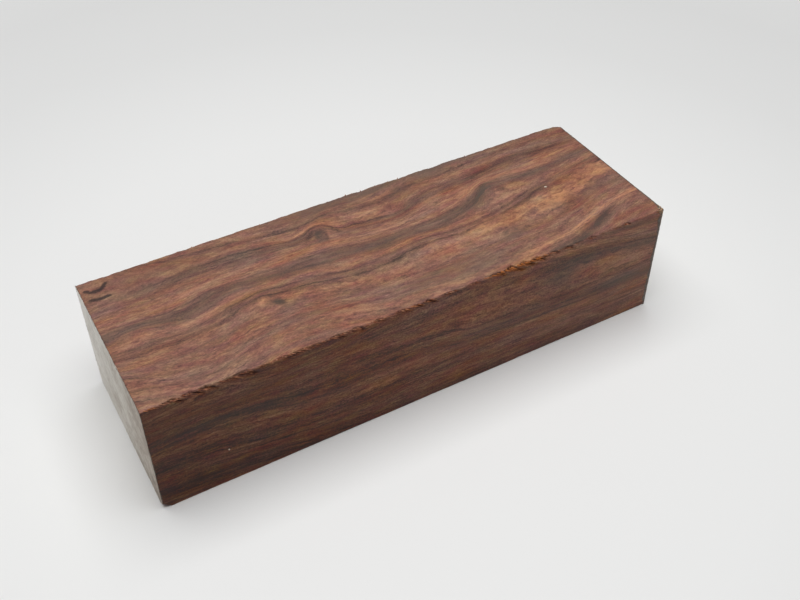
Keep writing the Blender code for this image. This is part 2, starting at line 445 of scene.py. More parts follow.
class GrainField:
    """Where each point of the block lies among its growth layers, and what tone the layers have there."""

    def __init__(self, points: np.ndarray) -> None:
        """Take the points.

        Args:
            points: an (n, 3) array of places on the block, in mm.
        """
        self.along, self.back, self.up = points.T
        self.down = HEIGHT - self.up
        self.across = self.back + LEAN * self.down
        self.share_of_front = LEAN * self.down / np.maximum(self.across, 1e-6)
        self.depth = self.layer_depth()

    def layer_depth(self) -> np.ndarray:
        """Return each point's depth among the layers, in mm."""
        routes = [follow(layer.route, self.along) for layer in TOP_LAYERS]
        first = TOP_LAYERS[0].depth
        at_arris = first - routes[0]
        top = first + np.minimum(self.across - routes[0], 0.0)
        for near, far, lower, upper in zip(TOP_LAYERS, TOP_LAYERS[1:], routes, routes[1:]):
            step = far.depth - near.depth
            at_arris = np.where(lower < 0, far.depth - upper * step / (upper - lower), at_arris)
            top += step * np.clip((self.across - lower) / (upper - lower), 0.0, 1.0)
        top += np.maximum(self.across - routes[-1], 0.0)
        front = self.front_depth(at_arris)
        drift = 0.12 * Ripple(3, (34.0, 12.0)).read(self.along, self.across)
        return top + (front - top) * self.share_of_front + drift

    def front_depth(self, at_arris: np.ndarray, least_step: float = 0.4) -> np.ndarray:
        """Read the depth from the layers that were followed along the front.

        Args:
            at_arris: the depth at the front top arris.
            least_step: the least that two layers lie apart, in mm.

        Returns:
            The depth of each point among the layers, in mm.
        """
        depth = at_arris.copy()
        near, near_depth = np.zeros_like(at_arris), at_arris
        for layer in FRONT_LAYERS:
            place = LEAN * (HEIGHT - follow(layer.route, self.along))
            span = np.maximum(place - near, least_step)
            depth += np.clip((self.across - near) / span, 0.0, 1.0) * (layer.depth - near_depth)
            near, near_depth = place, np.full_like(at_arris, layer.depth)
        return depth + np.maximum(self.across - near, 0.0)

    def coordinates(self) -> np.ndarray:
        """Return (along, depth, within the layer) for each point, in mm."""
        within = (LEAN * self.back + self.up) / np.hypot(1.0, LEAN)
        return np.column_stack((self.along, self.depth, within))

    def shown_on(self, face: Face) -> np.ndarray:
        """Return how far each point belongs to a face, from 0 to 1."""
        if face is Face.TOP:
            return smoothstep(1.2, 0.4, self.down) * smoothstep(0.8, 0.4, self.share_of_front)
        if face is Face.FRONT:
            return smoothstep(1.2, 0.4, self.back)
        return np.ones_like(self.along)

    def tones(self) -> np.ndarray:
        """Return the strength of each tone at each point, one column for each."""
        tones = np.zeros((len(self.along), len(Tone)))
        for (face, tone), group in STREAKS.items():
            total = sum(streak.shade(self.along, self.depth) for streak in group)
            tones[:, tone.value] += FACE_STRENGTH[face] * self.shown_on(face) * total
        for (face, tone), group in PATCHES.items():
            across = self.back if face is Face.TOP else self.up
            total = sum(patch.shade(self.along, across) for patch in group)
            tones[:, tone.value] += FACE_STRENGTH[face] * self.shown_on(face) * total
        return tones

    def threads(self) -> np.ndarray:
        """Return (darkness of a thread there, painted shade of the face, 1 off the top) for each point."""
        strength = np.zeros_like(self.along)
        for face, group in THREADS.items():
            for thread in group:
                near = smoothstep(0.9, 0.5, np.abs(self.depth - thread.depth))
                strength += near * read(thread.strength, self.along) * self.shown_on(face)
        below_arris = smoothstep(0.25, 0.7, self.down - 0.22 * slow_wear(FRONT_TOP_SEED, self.along))
        # Painted shade: the front and back darken from just below the top arris, and the base all over
        shade = (self.back < ON_FACE) * read(FRONT_PAINTED_SHADE, self.along) * below_arris
        shade += (self.back > DEPTH - ON_FACE) * BACK_PAINTED_SHADE * below_arris
        shade = np.where(self.up < ON_FACE, BACK_PAINTED_SHADE, shade)
        return np.column_stack((strength, shade, below_arris))


def thread_stops() -> list[list[tuple[float, float]]]:
    """Return the stops of ramps over the depth that rise to 1 at each thread.

    Returns:
        One list of (depth share, height) for each ramp, because a ramp holds 32 stops at most.
    """
    depths = sorted({thread.depth for group in THREADS.values() for thread in group})
    return [
        [((depth + off) / DEEPEST_THREAD, height)
         for depth in depths[first:first + THREADS_PER_RAMP]
         for off, height in ((-THREAD_HALF_WIDTH, 0.0), (0.0, 1.0), (THREAD_HALF_WIDTH, 0.0))]
        for first in range(0, len(depths), THREADS_PER_RAMP)
    ]


@dataclass(frozen=True)
class Bite:
    """Grain torn out of an arris by the saw.

    Attributes:
        middle: its middle along the block, in mm.
        length: its length, in mm.
        flat: how far it reaches over the top or base, in mm.
        side: how far it reaches over the front or back, in mm.
    """

    middle: float
    length: float
    flat: float
    side: float


FRONT_TOP_BITES = (
    Bite(2, 3, 0.1, 0.4), Bite(6.8, 2.2, 0.3, 0.7), Bite(10.6, 3.4, 0.3, 0.6), Bite(14.4, 1.8, 0.2, 0.4),
    Bite(17.6, 5, 0.1, 0.4), Bite(22.6, 3.4, 0.3, 0.7), Bite(26.2, 2.6, 0.15, 0.4),
    Bite(31.2, 4, 0.25, 0.8), Bite(38.4, 3, 0.1, 0.4), Bite(44.3, 2.4, 0.2, 0.5), Bite(49.1, 3, 0.3, 0.7),
    Bite(54.5, 3, 0.15, 0.5), Bite(60.6, 4.2, 0.3, 0.8), Bite(64.2, 2.6, 0.4, 1), Bite(67.4, 3.6, 0.2, 0.4),
    Bite(71.8, 4.2, 0.3, 0.5), Bite(74.4, 1.2, 0.25, 0.6), Bite(79.4, 4, 0.2, 0.4),
    Bite(85.6, 3.6, 0.35, 0.8), Bite(89.5, 3.4, 0.45, 1), Bite(93.4, 4, 0.55, 1.3), Bite(97, 3.4, 0.5, 1.1),
    Bite(101.8, 3, 0.3, 0.6), Bite(106, 3, 0.2, 0.5), Bite(113.3, 3, 0.1, 0.3), Bite(124.1, 1.6, 0.3, 0.45),
    Bite(134.8, 2.2, 0.4, 0.9),
)

FRONT_TOP_SEED = 11
SLOW_WEAR = 1.5

# Splinters that stand up from the back top arris: (along, height, width) in mm
NIBS = (
    (69.5, 0.34, 0.7), (71.2, 0.14, 0.5), (73.8, 0.12, 0.4), (77.8, 0.16, 0.5), (81.7, 0.14, 0.4),
    (84.6, 0.12, 0.5), (28.3, 0.08, 0.5), (45.8, 0.1, 0.4), (105, 0.1, 0.5), (119.5, 0.08, 0.4),
)

# How closely slivers follow each other along the front top arris: the share of places taken
SLIVER_CROWDING: Curve = {
    0: 0.7, 8: 0.8, 13: 0.8, 15: 0.3, 20: 0.2, 23: 0.8, 34: 0.8, 40: 0.4, 43: 0.8, 51: 0.8, 59: 0.6,
    63: 0.9, 66: 0.7, 68: 0.4, 73: 0.5, 81: 0.4, 84: 1, 98: 1, 104: 0.6, 108: 0.2, 121: 0.1, 131: 0.1,
    133: 0.5, 135: 0.9,
}

# Where the torn grain is fresh and amber rather than red
AMBER_RUNS: Curve = {
    0: 0.35, 3: 0.35, 4.5: 0, 60: 0, 62: 0.4, 65: 0.4, 67: 0, 82: 0, 85: 0.9, 98: 0.9, 101: 0, 130: 0,
    132.5: 0.5, 134: 0.9, 136: 0.9,
}


def slow_wear(seed: int, along: np.ndarray) -> np.ndarray:
    """Return how an arris's wear swells and shrinks over a centimetre or two, as about -1 to 1."""
    return Ripple(seed + 3, (13.0,)).read(along)


# Torn fibres lie at this angle to the arris
TEAR_SLANT = radians(27)

# Length of the fuzz on an arris, over its flat side and its upright side, and that of its torn strands,
# through and along them, in mm
FUZZ_LENGTHS = (2.2, 3.1)
STRAND_SIZE = (0.5, 5.0)


@dataclass(frozen=True)
class Arris:
    """One long edge of the block.

    Attributes:
        at_back: whether it is at the back.
        at_top: whether it is at the top.
        seed: the random seed of its fuzz.
        flat_wear: how far its wear reaches over the top or base, in mm.
        side_wear: the same over the front or back.
        ragged: how much the wear varies.
        bites: the torn places that are listed one by one.
        chance_bites: how many small ones are scattered besides.
        deepest: the reach of the deepest of those, over the top or base, in mm.
        calm: the share of all this wear that shows along the block.
        least_flat: the least share of the wear over the top or base that the fuzz leaves.
        least_side: the same over the front or back.
    """

    at_back: bool
    at_top: bool
    seed: int
    flat_wear: float = 0.1
    side_wear: float = 0.12
    ragged: float = 0.2
    bites: tuple[Bite, ...] = ()
    chance_bites: int = 0
    deepest: float = 0.12
    calm: Curve = field(default_factory=lambda: {0: 1})
    least_flat: float = 0.4
    least_side: float = 0.3

    def all_bites(self) -> list[Bite]:
        """Return the listed and the scattered bites."""
        rng = np.random.default_rng(self.seed)
        scattered = [
            Bite(rng.uniform(2, LENGTH - 2), rng.uniform(0.8, 4.0), self.deepest * rng.uniform(0.3, 1),
                 self.deepest * rng.uniform(0.8, 2.6))
            for _ in range(self.chance_bites)
        ]
        return list(self.bites) + scattered

    def wear(self, points: np.ndarray) -> np.ndarray:
        """Push the points near the arris in where grain is torn out.

        Args:
            points: an (n, 3) array in mm, which is changed.

        Returns:
            How far each point was pushed, in mm.
        """
        flat = DEPTH - points[:, 1] if self.at_back else points[:, 1]
        side = HEIGHT - points[:, 2] if self.at_top else points[:, 2]
        along = points[:, 0]
        slow = SLOW_WEAR * slow_wear(self.seed, along)
        over_flat, over_side = (
            self.ragged * (Ripple(self.seed + number, (length,)).read(along) + slow)
            for number, length in enumerate(FUZZ_LENGTHS)
        )
        flat_reach = self.flat_wear * np.maximum(1 + over_flat, self.least_flat)
        side_reach = self.side_wear * np.maximum(1 + over_side, self.least_side)
        # A bite slants with the fibres, and is deepest near its right end, where they broke off short
        for bite in self.all_bites():
            u = (along - bite.middle - side / tan(TEAR_SLANT)) / (bite.length / 2)
            depth = np.clip(1.0 - u * u, 0.0, 1.0) * (1.0 + 0.6 * u)
            flat_reach += bite.flat * depth
            side_reach += bite.side * depth
        flat_reach *= read(self.calm, along)
        side_reach *= read(self.calm, along)
        short = np.maximum(1.0 - flat / flat_reach - side / side_reach, 0.0)
        push = short / (1.0 / flat_reach + 1.0 / side_reach)
        across_fibre = side * cos(TEAR_SLANT) - along * sin(TEAR_SLANT)
        strands = Ripple(self.seed + 2, STRAND_SIZE).read(across_fibre, along)
        push *= 1.1 + 0.5 * np.abs(strands)
        points[:, 1] += -push if self.at_back else push
        points[:, 2] += -push if self.at_top else push
        return push


ARRISES = (
    Arris(at_back=False, at_top=True, seed=FRONT_TOP_SEED, flat_wear=0.2, side_wear=0.34, ragged=0.4,
          bites=FRONT_TOP_BITES, chance_bites=46, deepest=0.22,
          calm={0: 1, 115: 1, 118: 0.6, 122.6: 0.55, 123.4: 1, 125.2: 1, 126.4: 0.4, 132.8: 0.4, 134: 1}),
    Arris(at_back=True, at_top=True, seed=23, flat_wear=0.16, side_wear=0.3, ragged=0.35, chance_bites=26),
    Arris(at_back=False, at_top=False, seed=37, chance_bites=10, deepest=0.06),
    Arris(at_back=True, at_top=False, seed=41, chance_bites=16, deepest=0.08),
)

# Corners knocked off in handling: side along X, Y and Z, and how far back along each edge, in mm
KNOCKED_CORNERS = (
    ((-1, -1, -1), (1.9, 1.5, 1.7)),
    ((1, 1, 1), (2.6, 1.2, 1.2)),
)

# A stroke and a dash of marker pen near the back left corner of the top
PEN_STROKES: tuple[Curve, ...] = (
    {1.2: 41.2, 2.4: 40.3, 3.8: 40.1, 5.2: 40.7, 6.2: 41.9},
    {1.6: 37.6, 3.6: 37.2, 5.7: 37.3},
)
CLEAR_OF_INK = 3.0

# Places where the wax is rubbed thin: (back, up, radius) in mm
LEFT_WORN = ((3.5, 5, 2.2), (8.5, 1, 2))
RIGHT_WORN = ((43.4, 31, 1.5), (1, 1.2, 1.6), (20, 0.2, 1.2))


def linear(hex_colour: str) -> tuple[float, float, float, float]:
    """Turn an sRGB hex colour to linear RGBA.

    Args:
        hex_colour: a colour such as "#85563C".

    Returns:
        The linear colour, opaque.
    """
    channels = (int(hex_colour[i:i + 2], 16) / 255 for i in (1, 3, 5))
    return *(c / 12.92 if c <= 0.04045 else ((c + 0.055) / 1.055) ** 2.4 for c in channels), 1.0


Socket = bpy.types.NodeSocket

# Settings that many nodes share
TIMES = {"operation": "MULTIPLY"}
TIMES_PLUS = {"operation": "MULTIPLY_ADD"}
BLEND = {"data_type": "RGBA", "out": "Result"}


class Recipe:
    """The node tree of one finish."""

    def __init__(self, name: str) -> None:
        """Start a material with no nodes.

        Args:
            name: the material's name.
        """
        self.material = bpy.data.materials.new(name)
        self.material.use_nodes = True
        self.tree = self.material.node_tree
        self.tree.nodes.clear()

    def add(self, kind: str, feeds: tuple | dict = (), out: int | str = 0, stops: tuple | list = (),
            **settings) -> Socket | None:
        """Add one node with its settings and links.

        Args:
            kind: the node's type, without the word ShaderNode before it.
            feeds: a socket, a value or a hex colour for each input, by order or by name.
            out: the output that is wanted.
            stops: (place, value or hex colour) of each stop, for a ramp.
            settings: the node's own properties.

        Returns:
            The wanted output socket.
        """
        node = self.tree.nodes.new("ShaderNode" + kind)
        for name, value in settings.items():
            setattr(node, name, value)
        for key, value in feeds.items() if isinstance(feeds, dict) else enumerate(feeds):
            if isinstance(value, Socket):
                self.tree.links.new(value, node.inputs[key])
            else:
                node.inputs[key].default_value = linear(value) if isinstance(value, str) else value
        if stops:
            elements = node.color_ramp.elements
            while len(elements) < len(stops):
                elements.new(0.5)
            for element, (place, value) in zip(elements, stops):
                element.position = place
                element.color = linear(value) if isinstance(value, str) else (value, value, value, 1.0)
        return node.outputs[out] if node.outputs else None


class GrainRecipe(Recipe):
    """The node tree of sawn heartwood, with the noise that lies along the layers that its mesh carries."""

    def __init__(self, name: str) -> None:
        """Lay noise along the grain.

        Args:
            name: the material's name.
        """
        super().__init__(name)
        add = self.add
        vectors = [
            add("Attribute", attribute_name=stored, out="Vector")
            for stored in ("grain", "figure", "marks", "threads")
        ]
        grain = vectors[0]
        self.place, self.tones, self.marks, self.face = (
            add("SeparateXYZ", (vector,)).node.outputs for vector in vectors
        )
        # Layers wander sideways by up to 0.3 mm over 35 mm, and are ragged by as much over 2 mm
        shifted = add("Math", (self.noise(grain, (35, 6, 18), 1), 0.9, self.place[1]), **TIMES_PLUS)
        self.shifted = add("Math", (self.noise(grain, (2.6, 1.1, 1.3), 2), 1.4, shifted), **TIMES_PLUS)
        layers = add("CombineXYZ", (self.place[0], self.shifted, self.place[2]))
        # Bands 3 mm apart, growth lines 1 mm apart, hair lines of 0.3 mm, and where they run on or lull
        self.bands, self.lines, self.hairs, self.runs, lulls = (
            self.noise(layers, lengths, 2)
            for lengths in ((36, 3, 24), (15, 1, 8), (4.6, 0.32, 3), (28, 0.9, 12), (11, 2, 6))
        )
        # Two sets of crossing fibres, grit, and the tint and blush of the resin
        self.fibres = self.noise(grain, (1.7, 0.5, 0.8), 3, slant=0.24)
        self.crossing = self.noise(grain, (1.9, 0.55, 0.8), 2, slant=-0.3)
        self.grit = self.noise(grain, (0.45, 0.3, 0.35), 1)
        self.tint = self.noise(grain, (5, 1.8, 2.5), 2)
        self.blush = self.noise(grain, (14, 4.5, 7), 2)
        # Pores are slits about 1.5 mm long and 0.2 mm wide
        slits = self.noise(grain, (1.6, 0.22, 0.3), 1)
        self.pores = add("ValToRGB", (add("Math", (slits, 0.5)),), stops=((0.6, 0.0), (0.74, 1.0)))
        # Fibres and lulls break every streak up
        broken = add("Math", (self.crossing, 2.2, 0.9), **TIMES_PLUS)
        broken = add("Math", (self.fibres, 1.8, broken), **TIMES_PLUS)
        self.broken = add("Math", (lulls, 2.4, broken), **TIMES_PLUS)

    def noise(self, vector: Socket, lengths: tuple[float, float, float], detail: float,
              slant: float = 0.0) -> Socket:
        """Add noise that is stretched along the grain.

        Args:
            vector: the coordinates, in mm.
            lengths: the noise's size along each coordinate, in mm.
            detail: how many finer octaves it has.
            slant: turn of its length from the grain, in radians.

        Returns:
            A socket with values of about -0.3 to 0.3.
        """
        stretched = self.add("Mapping", {"Vector": vector, "Rotation": (0, 0, slant), "Scale": lengths},
                             vector_type="TEXTURE")
        cloud = self.add("TexNoise", {"Vector": stretched, "Scale": 1, "Detail": detail, "Roughness": 0.55})
        return self.add("Math", (cloud, 0.5), operation="SUBTRACT")

    def drawn_threads(self) -> Socket:
        """Return how strongly the hair-thin dark lines show."""
        share = self.add("Math", (self.shifted, DEEPEST_THREAD), operation="DIVIDE")
        spikes = 0.0
        for stops in thread_stops():
            spikes = self.add("Math", (self.add("ValToRGB", (share,), stops=stops), spikes))
        drawn = self.add("Math", (spikes, self.face[0]), **TIMES)
        return self.add("Math", (drawn, self.broken), **TIMES)

    def tone(self) -> Socket:
        """Return how pale the wood is, from 0 to 1."""
        add = self.add
        off_top, painted_shade = self.face[2], self.face[1]
        # Each line shows as a thin dark thread where the noise passes through its middle
        thread = add("Math", (self.lines,), operation="ABSOLUTE")
        thread = add("Math", (thread, 9.0), use_clamp=True, **TIMES)
        clear = add("Math", (painted_shade, 0.06, 0.09), **TIMES_PLUS)
        tone = add("Math", (thread, clear, 0.47), **TIMES_PLUS)
        dark = add("Math", (self.tones[0], self.broken), **TIMES)
        # How much each part shows on the top, and on the other faces, which were cut along the growth lines
        for part, on_top, on_sides in (
                (self.bands, 0.11, 0.09), (self.lines, 0.22, 0.06), (self.runs, 0.04, 0.38),
                (self.hairs, 0.26, 0.43), (self.fibres, 0.36, 0.2), (self.crossing, 0.32, 0.12),
                (self.tint, 0.22, 0.1), (self.grit, 0.38, 0.54), (self.blush, 0.14, 0.1),
                (dark, -0.18, -0.25), (self.drawn_threads(), -0.15, -0.22), (self.tones[1], 0.13, 0.13)):
            amount = add("Math", (off_top, on_sides - on_top, on_top), **TIMES_PLUS)
            tone = add("Math", (part, amount, tone), **TIMES_PLUS)
        # The faces with painted shade were left rougher and show more contrast, rising with that shade
        swing = add("Math", (painted_shade, 0.9, 1.0), **TIMES_PLUS)
        tone = add("Math", (add("Math", (tone, -0.45)), swing, 0.45), **TIMES_PLUS)
        return add("Math", (self.pores, -0.1, tone), **TIMES_PLUS)


@dataclass(frozen=True)
class Heartwood:
    """Desert ironwood heartwood, band sawn and lightly sanded.

    It is as dense as bone, so the surface is tight and nearly matt. Layers of olive black, red brown and
    orange run along it in waves, broken up by short interlocked fibres and hair-fine pores.
    """

    black: str = "#382924"
    umber: str = "#593E35"
    russet: str = "#875C4B"
    orange: str = "#AA7B61"
    straw: str = "#C49B80"
    olive: str = "#62564C"
    amber: str = "#C58A62"
    # Fresh torn wood darkened with painted shade, for the hollows of the bites and under the slivers
    shaded_fresh_tear: str = "#45241A"
    torn_fibre: str = "#B0704C"
    amber_tear: str = "#8A5022"
    ink: str = "#1D1B20"
    roughness: float = 0.56
    specular: float = 0.25

    def material(self) -> bpy.types.Material:
        """Return the finish as a material."""
        grain = GrainRecipe("sawn_ironwood_heartwood")
        add = grain.add
        wood = self.streaked(grain, self.hued(grain))
        wood = self.torn(grain, wood)
        # The pen's edge is ragged by the grain, and the ink is thin
        edge = add("Math", (grain.fibres, 0.8, grain.marks[0]), **TIMES_PLUS)
        inked = add("ValToRGB", (edge,), stops=((0.3, 0.8), (0.7, 0.0)))
        wood = add("Mix", {"Factor": inked, "A": wood, "B": self.ink}, **BLEND)
        rough = add("Math", (grain.hairs, 0.15, self.roughness), **TIMES_PLUS)
        relief = add("Math", (grain.hairs, 0.5, grain.fibres), **TIMES_PLUS)
        relief = add("Math", (grain.pores, -0.6, relief), **TIMES_PLUS)
        normal = add("Bump", {"Strength": 0.5, "Distance": 0.06 * MM, "Height": relief})
        shader = add("BsdfPrincipled", {"Base Color": wood, "Roughness": rough, "Normal": normal, "IOR": 1.5,
                                        "Specular IOR Level": self.specular})
        add("OutputMaterial", (shader,))
        return grain.material

    def hued(self, grain: GrainRecipe) -> Socket:
        """Colour the wood by its tone, with red and olive flecks a few mm long and wider clouds of resin.

        Args:
            grain: the node tree.

        Returns:
            The colour.
        """
        add, painted_shade = grain.add, grain.face[1]
        shades = ((0.0, self.black), (0.28, self.umber), (0.52, self.russet), (0.76, self.orange),
                  (1.0, self.straw))
        wood = add("ValToRGB", (grain.tone(),), stops=shades)
        # Painted shade of the front, back and base shifts their hue and saturation and darkens them
        reach_of_hue = add("Math", (painted_shade, 0.02, 0.08), **TIMES_PLUS)
        hue = add("Math", (grain.tint, reach_of_hue, 0.501), **TIMES_PLUS)
        hue = add("Math", (painted_shade, -0.008, hue), **TIMES_PLUS)
        depth_of_hue = add("Math", (grain.blush, 0.6, 0.97), **TIMES_PLUS)
        depth_of_hue = add("Math", (painted_shade, 0.4, depth_of_hue), **TIMES_PLUS)
        value = add("Math", (painted_shade, -1.0, 1.0), **TIMES_PLUS)
        return add("HueSaturation", {"Hue": hue, "Saturation": depth_of_hue, "Value": value, "Color": wood})

    def streaked(self, grain: GrainRecipe, wood: Socket) -> Socket:
        """Veil the grey streaks with olive, and let the orange ones glow.

        Args:
            grain: the node tree.
            wood: the colour so far.

        Returns:
            The new colour.
        """
        add, (_, warm, grey), broken = grain.add, grain.tones, grain.broken
        veil = add("Math", (grey, add("Math", (broken, 0.3, 0.2), **TIMES_PLUS)), **TIMES)
        veil = add("Math", (veil, 0.62), operation="MINIMUM", use_clamp=True)
        wood = add("Mix", {"Factor": veil, "A": wood, "B": self.olive}, **BLEND)
        glow = add("Math", (grain.lines, 1.8, add("Math", (broken, 0.2), **TIMES)), **TIMES_PLUS)
        glow = add("Math", (grain.hairs, 1.6, glow), **TIMES_PLUS)
        glow = add("Math", (glow, warm), **TIMES)
        glow = add("Math", (glow, 0.6), operation="MINIMUM", use_clamp=True)
        return add("Mix", {"Factor": glow, "A": wood, "B": self.amber}, **BLEND)

    def torn(self, grain: GrainRecipe, wood: Socket) -> Socket:
        """Show torn grain as fresh, redder wood with painted shade, and pale ends of fibres standing in it.

        Args:
            grain: the node tree.
            wood: the colour so far.

        Returns:
            The new colour.
        """
        add, along = grain.add, grain.place[0]
        slant = add("CombineXYZ", (add("Math", (along, 0.25), **TIMES), grain.marks[2]))
        strands = add("TexNoise", {"Vector": slant, "Scale": 2.6, "Detail": 2.0})
        # The dark stop is painted shade in the hollows, and the pale one is fresh fibre
        torn = add("ValToRGB", (strands,), stops=((0.46, self.shaded_fresh_tear), (0.8, self.torn_fibre)))
        run = add("Math", (along, LENGTH), operation="DIVIDE")
        run = add("ValToRGB", (run,), stops=[(at / LENGTH, 0.75 * amber) for at, amber in AMBER_RUNS.items()])
        run = add("Math", (run, add("Math", (strands, 1.5), **TIMES)), use_clamp=True, **TIMES)
        torn = add("Mix", {"Factor": run, "A": torn, "B": self.amber_tear}, **BLEND)
        tear = add("Math", (grain.marks[1], 7.0), use_clamp=True, **TIMES)
        return add("Mix", {"Factor": tear, "A": wood, "B": torn}, **BLEND)


@dataclass(frozen=True)
class TornFibre:
    """Fresh fibres of the same wood, paler and redder than a surface that has aged."""

    pale: str = "#B07C60"
    red: str = "#854A34"
    amber: str = "#A8622C"

    def material(self) -> bpy.types.Material:
        """Return the finish as a material."""
        recipe = Recipe("torn_ironwood_fibre")
        add = recipe.add
        place = add("TexCoord", out="Object")
        clouds = add("TexNoise", {"Vector": place, "Scale": 1500.0, "Detail": 2.0})
        colour = add("ValToRGB", (clouds,), stops=((0.38, self.red), (0.62, self.pale)))
        span = LENGTH * MM
        along = add("Math", (add("SeparateXYZ", (place,)), 1 / span, -LOWEST.x / span), **TIMES_PLUS)
        runs = add("ValToRGB", (along,), stops=[(at / LENGTH, amber) for at, amber in AMBER_RUNS.items()])
        colour = add("Mix", {"Factor": runs, "A": colour, "B": self.amber}, **BLEND)
        shader = add("BsdfPrincipled", {"Base Color": colour, "Roughness": 0.7, "IOR": 1.5,
                                        "Specular IOR Level": 0.25})
        add("OutputMaterial", (shader,))
        return recipe.material


@dataclass(frozen=True)
class EndWax:
    """Paraffin wax brushed hot on the end grain, so that it dries slowly.

    It is pale grey, slightly cloudy and dull, and the wood shows through where it is thin.
    """

    pale: str = "#EEE8DF"
    cloudy: str = "#D0C8BC"
    thin: str = "#AE9F90"
    thinnest: str = "#8B7B6C"
    smear: str = "#68635B"
    bare: str = "#564339"
    name: str = "brushed_end_wax"

    def material(self) -> bpy.types.Material:
        """Return the finish as a material."""
        recipe = Recipe(self.name)
        add = recipe.add
        place = add("TexCoord", out="Object")
        # Clouds a centimetre across, slanting strokes of the brush and grit of a millimetre
        clouds = add("TexNoise", {"Vector": place, "Scale": 90.0, "Detail": 4.0, "Roughness": 0.55})
        strokes = add("Mapping", {"Vector": place, "Rotation": (0.6, 0, 0), "Scale": (0.01, 0.012, 0.003)},
                      vector_type="TEXTURE")
        strokes = add("TexNoise", {"Vector": strokes, "Scale": 1.0, "Detail": 2.0})
        grit = add("TexNoise", {"Vector": place, "Scale": 800.0, "Detail": 3.0})
        amount = add("Math", (clouds, 0.95, 0.06), **TIMES_PLUS)
        amount = add("Math", (strokes, 0.07, amount), **TIMES_PLUS)
        amount = add("Math", (add("Math", (grit, -0.44)), 0.6, amount), **TIMES_PLUS)
        # The coat is paler towards the back
        amount = add("Math", (add("SeparateXYZ", (place,), out=1), 12.0, amount), **TIMES_PLUS)
        shades = ((0.15, self.thinnest), (0.4, self.thin), (0.6, self.cloudy), (0.9, self.pale))
        colour = add("ValToRGB", (amount,), stops=shades)
        # Round the arris it is a thin smear with bare wood between its specks
        specks = add("TexNoise", {"Vector": place, "Scale": 1400.0, "Detail": 2.0})
        lap = add("ValToRGB", (specks,), stops=((0.42, self.bare), (0.6, self.smear)))
        coat = add("Attribute", attribute_name="coat", out="Fac")
        on_end = add("ValToRGB", (coat,), stops=((0.8, 0.0), (0.95, 1.0)))
        colour = add("Mix", {"Factor": on_end, "A": lap, "B": colour}, **BLEND)
        normal = add("Bump", {"Strength": 0.3, "Distance": 0.1 * MM, "Height": amount})
        shader = add("BsdfPrincipled", {"Base Color": colour, "Roughness": 0.5, "Normal": normal, "IOR": 1.44,
                                        "Specular IOR Level": 0.35})
        add("OutputMaterial", (shader,))
        return recipe.material


@dataclass(frozen=True)
class PaleBoard:
    """Matt white board, as under a product on a studio table.

    Its glow makes up for the lamp's light where that fades, as (distance from the block in metres, strength).
    """

    white: str = "#EBEBEA"
    painted_shade_grey: str = "#E4E4E3"
    glow: tuple[tuple[float, float], ...] = ((0.22, 0.0), (0.35, 0.17), (0.5, 0.34), (0.75, 0.5))

    def material(self) -> bpy.types.Material:
        """Return the finish as a material."""
        recipe = Recipe("matt_white_board")
        add = recipe.add
        flat = add("VectorMath", (add("TexCoord", out="Object"), (1.0, 1.0, 0.0)), **TIMES)
        far = add("VectorMath", (flat,), operation="LENGTH", out="Value")
        glow = add("ValToRGB", (far,), stops=self.glow)
        # Painted shade: the board turns a little greyer from 0.1 to 0.17 m away from the block, and stays so
        base = add("ValToRGB", (far,), stops=((0.1, self.white), (0.17, self.painted_shade_grey)))
        shader = add("BsdfPrincipled", {"Base Color": base, "Roughness": 0.9, "Emission Strength": glow,
                                        "Emission Color": self.white})
        add("OutputMaterial", (shader,))
        return recipe.material


def object_of(bm: bmesh.types.BMesh, name: str, material: bpy.types.Material) -> bpy.types.Object:
    """Turn a bmesh to an object in the scene, shaded smooth.

    Args:
        bm: the mesh, which is freed.
        name: the object's name.
        material: its only material.

    Returns:
        The new object.
    """
    mesh = bpy.data.meshes.new(name)
    bm.to_mesh(mesh)
    bm.free()
    mesh.materials.append(material)
    mesh.shade_smooth()
    made = bpy.data.objects.new(name, mesh)
    bpy.context.scene.collection.objects.link(made)
    return made


def cube_places(mesh: bpy.types.Mesh) -> np.ndarray:
    """Return each vertex's place in the unit cube that the mesh was cut from, from 0 to 1."""
    places = np.empty(len(mesh.vertices) * 3)
    mesh.vertices.foreach_get("co", places)
    return places.reshape(-1, 3) + 0.5


def settle(mesh: bpy.types.Mesh, points: np.ndarray) -> None:
    """Put the vertices at places on the block, given in mm."""
    mesh.vertices.foreach_set("co", (points * MM + np.array(LOWEST)).ravel())
    mesh.update()


def to_metres(bm: bmesh.types.BMesh) -> None:
    """Turn a mesh in millimetres of the block to metres in the scene."""
    bmesh.ops.transform(bm, matrix=Matrix.Translation(LOWEST) @ Matrix.Scale(MM, 4), verts=bm.verts)


def store(mesh: bpy.types.Mesh, name: str, values: np.ndarray) -> None:
    """Store a number or a vector for each vertex.

    Args:
        mesh: the mesh.
        name: the attribute's name.
        values: an array of n numbers or of (n, 3).
    """
    kind, part = ("FLOAT", "value") if values.ndim == 1 else ("FLOAT_VECTOR", "vector")
    mesh.attributes.new(name, kind, "POINT").data.foreach_set(part, values.ravel())


def knock_corners(points: np.ndarray, deeper: float = 0.0) -> None:
    """Flatten the corners that were knocked off.

    Args:
        points: an (n, 3) array in mm, which is changed.
        deeper: how far below the cut the points are put, in mm.
    """
    for side, reach in KNOCKED_CORNERS:
        corner = (np.array(side) + 1) / 2 * (LENGTH, DEPTH, HEIGHT)
        outward = np.array(side) / np.array(reach)
        length = np.linalg.norm(outward)
        over = np.maximum(((points - corner) @ outward + 1.0) / length, 0.0)
        over += deeper * (over > 0)
        points -= over[:, None] * outward / length


